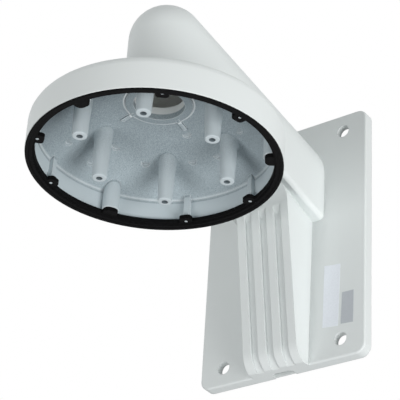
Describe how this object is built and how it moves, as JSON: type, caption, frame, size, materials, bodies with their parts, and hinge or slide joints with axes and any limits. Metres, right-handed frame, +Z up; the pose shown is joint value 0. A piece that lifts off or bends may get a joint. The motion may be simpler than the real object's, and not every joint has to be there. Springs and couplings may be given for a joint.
{
  "type": "camera bracket",
  "caption": "Cast wall bracket for a dome camera: a ribbed wall plate, a hollow arm and a round cup, open below, whose posts carry the camera.",
  "frame": {"origin": "centre of the wall plate's back face, which is the centre of its four screw holes at the wall", "axes": "+X to the right when facing the wall, +Y into the wall, +Z up; the arm reaches towards -Y"},
  "size_m": [0.157, 0.231, 0.1938],
  "materials": {
    "bracket_casting": "fine satin powder coat",
    "rim_gasket": "matt black rubber"
  },
  "bodies": {
    "root": {"bracket_casting": "bracket_casting", "rim_gasket": "rim_gasket"}
  },
  "joints": []
}
